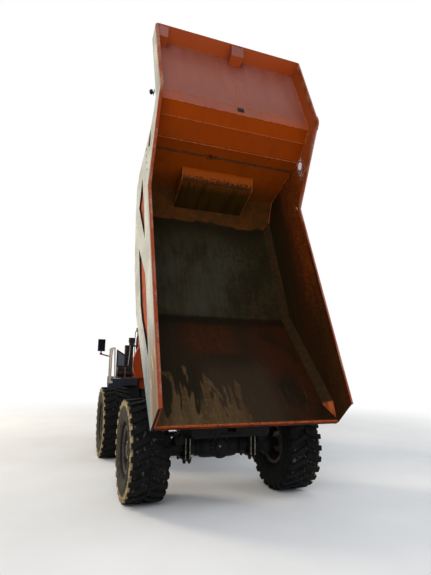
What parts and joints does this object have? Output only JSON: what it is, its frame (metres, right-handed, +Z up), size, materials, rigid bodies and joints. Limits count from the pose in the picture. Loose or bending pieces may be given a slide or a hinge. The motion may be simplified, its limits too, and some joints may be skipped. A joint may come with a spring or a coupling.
{
  "type": "articulated dump truck",
  "caption": "Two-axle articulated dump truck with its canopied, box-ribbed dump bed raised, wide lugged tyres and a forward cab.",
  "frame": {"origin": "on the ground, midway between the raised bed's rearmost corner and the bumper's front face, on the middle plane", "axes": "+X towards the cab, +Y to the truck's left, +Z up"},
  "size_m": [7.9292, 3.025, 7.6524],
  "materials": {
    "tyre": "matte rubber, dusty on the flanks",
    "rim": "satin, dusty",
    "glass": "tinted",
    "chrome_rod": "polished",
    "bed_steel": "worn by loads, streaked",
    "cream_paint": "semi-gloss, dusty",
    "orange_paint": "semi-gloss",
    "lamp": "clear lens",
    "trim_black": "matte",
    "engine_grey": "matte",
    "rail_paint": "satin",
    "black_paint": "satin, dusty"
  },
  "bodies": {
    "rear_unit": {"rear_chassis": "black_paint", "rear_axle": "black_paint", "rear_lamps": "lamp"},
    "bed": {"bed_floor": "bed_steel", "bed_sides": "bed_steel", "bed_front": "bed_steel", "bed_canopy": "orange_paint", "bed_rims": "orange_paint", "side_frames": "cream_paint", "headboard_ribs": "orange_paint", "bed_beams": "bed_steel"},
    "hoist_barrel_l": {"hoist_barrel_l": "black_paint"},
    "hoist_barrel_r": {"hoist_barrel_r": "black_paint"},
    "hoist_rod_l": {"hoist_rod_l": "chrome_rod"},
    "hoist_rod_r": {"hoist_rod_r": "chrome_rod"},
    "steer_barrel_l": {"steer_barrel_l": "black_paint"},
    "steer_barrel_r": {"steer_barrel_r": "black_paint"},
    "steer_rod_l": {"steer_rod_l": "chrome_rod"},
    "steer_rod_r": {"steer_rod_r": "chrome_rod"},
    "wheel_rl": {"tyre_rl": "tyre", "rim_rl": "rim"},
    "wheel_rr": {"tyre_rr": "tyre", "rim_rr": "rim"},
    "wheel_fl": {"tyre_fl": "tyre", "rim_fl": "rim"},
    "wheel_fr": {"tyre_fr": "tyre", "rim_fr": "rim"},
    "front_unit": {"front_frame": "black_paint", "front_axle": "black_paint", "bumper": "black_paint", "front_lamps": "lamp", "engine": "engine_grey", "decks": "black_paint", "ladders": "black_paint", "handrails": "rail_paint", "tanks": "black_paint", "deck_boxes": "black_paint", "rear_cowl": "orange_paint", "cab_shell": "orange_paint", "cab_glass": "glass", "cab_interior": "trim_black", "mirrors": "black_paint"},
    "door_left": {"door_l": "orange_paint", "door_glass_l": "glass"},
    "door_right": {"door_r": "orange_paint", "door_glass_r": "glass"},
    "hood": {"hood": "orange_paint", "grille": "black_paint"}
  },
  "joints": [
    {"name": "wheel_rear_left", "type": "hinge", "parent": "rear_unit", "child": "wheel_rl", "pos_m": [-2.23545, 1.2275, 0.745], "axis": [0, 1, 0], "continuous": true},
    {"name": "wheel_rear_right", "type": "hinge", "parent": "rear_unit", "child": "wheel_rr", "pos_m": [-2.23545, -1.2275, 0.745], "axis": [0, 1, 0], "continuous": true},
    {"name": "steer", "type": "hinge", "parent": "rear_unit", "child": "front_unit", "pos_m": [-0.18545, 0, 0.9], "axis": [0, 0, 1], "range_deg": [-40, 40]},
    {"name": "wheel_front_left", "type": "hinge", "parent": "front_unit", "child": "wheel_fl", "pos_m": [1.06455, 1.2275, 0.745], "axis": [0, 1, 0], "continuous": true},
    {"name": "wheel_front_right", "type": "hinge", "parent": "front_unit", "child": "wheel_fr", "pos_m": [1.06455, -1.2275, 0.745], "axis": [0, 1, 0], "continuous": true},
    {"name": "bed_tip", "type": "hinge", "parent": "rear_unit", "child": "bed", "pos_m": [-2.64645, 0, 1.603], "axis": [0, 1, 0], "range_deg": [0, 69.16]},
    {"name": "hoist_swing_l", "type": "hinge", "parent": "rear_unit", "child": "hoist_barrel_l", "pos_m": [-0.93545, 0.72, 0.735], "axis": [0, 1, 0], "range_deg": [-0.9438, 0.05]},
    {"name": "hoist_slide_l", "type": "slide", "parent": "hoist_barrel_l", "child": "hoist_rod_l", "axis": [-0.6945, 0, 0.7195], "range_m": [-0.85317, 0.002]},
    {"name": "hoist_swing_r", "type": "hinge", "parent": "rear_unit", "child": "hoist_barrel_r", "pos_m": [-0.93545, -0.72, 0.735], "axis": [0, 1, 0], "range_deg": [-0.9438, 0.05]},
    {"name": "hoist_slide_r", "type": "slide", "parent": "hoist_barrel_r", "child": "hoist_rod_r", "axis": [-0.6945, 0, 0.7195], "range_m": [-0.85317, 0.002]},
    {"name": "steer_swing_l", "type": "hinge", "parent": "rear_unit", "child": "steer_barrel_l", "pos_m": [-1.18545, 0.26, 0.9], "axis": [0, 0, 1], "range_deg": [-2.17, 2.17]},
    {"name": "steer_slide_l", "type": "slide", "parent": "steer_barrel_l", "child": "steer_rod_l", "axis": [0.9978, 0.0659, 0], "range_m": [-0.21424, 0.21424]},
    {"name": "steer_swing_r", "type": "hinge", "parent": "rear_unit", "child": "steer_barrel_r", "pos_m": [-1.18545, -0.26, 0.9], "axis": [0, 0, 1], "range_deg": [-2.17, 2.17]},
    {"name": "steer_slide_r", "type": "slide", "parent": "steer_barrel_r", "child": "steer_rod_r", "axis": [0.9978, -0.0659, 0], "range_m": [-0.21424, 0.21424]},
    {"name": "door_left", "type": "hinge", "parent": "front_unit", "child": "door_left", "pos_m": [2.872, 0.45495, 2.3], "axis": [0, 0, -1], "range_deg": [0, 75]},
    {"name": "door_right", "type": "hinge", "parent": "front_unit", "child": "door_right", "pos_m": [2.872, -0.45495, 2.3], "axis": [0, 0, 1], "range_deg": [0, 75]},
    {"name": "hood", "type": "hinge", "parent": "front_unit", "child": "hood", "pos_m": [3.04455, 0, 2.17], "axis": [0, -1, 0], "range_deg": [0, 50]}
  ],
  "couplings": [
    {"joint": "hoist_swing_l", "follows": "bed_tip", "ratio": -0.012924},
    {"joint": "hoist_slide_l", "follows": "bed_tip", "m_per_rad": -0.70516},
    {"joint": "hoist_swing_r", "follows": "bed_tip", "ratio": -0.012924},
    {"joint": "hoist_slide_r", "follows": "bed_tip", "m_per_rad": -0.70516},
    {"joint": "steer_swing_l", "follows": "steer", "ratio": 0.05297},
    {"joint": "steer_slide_l", "follows": "steer", "m_per_rad": -0.30401},
    {"joint": "steer_swing_r", "follows": "steer", "ratio": 0.05297},
    {"joint": "steer_slide_r", "follows": "steer", "m_per_rad": 0.30401}
  ]
}
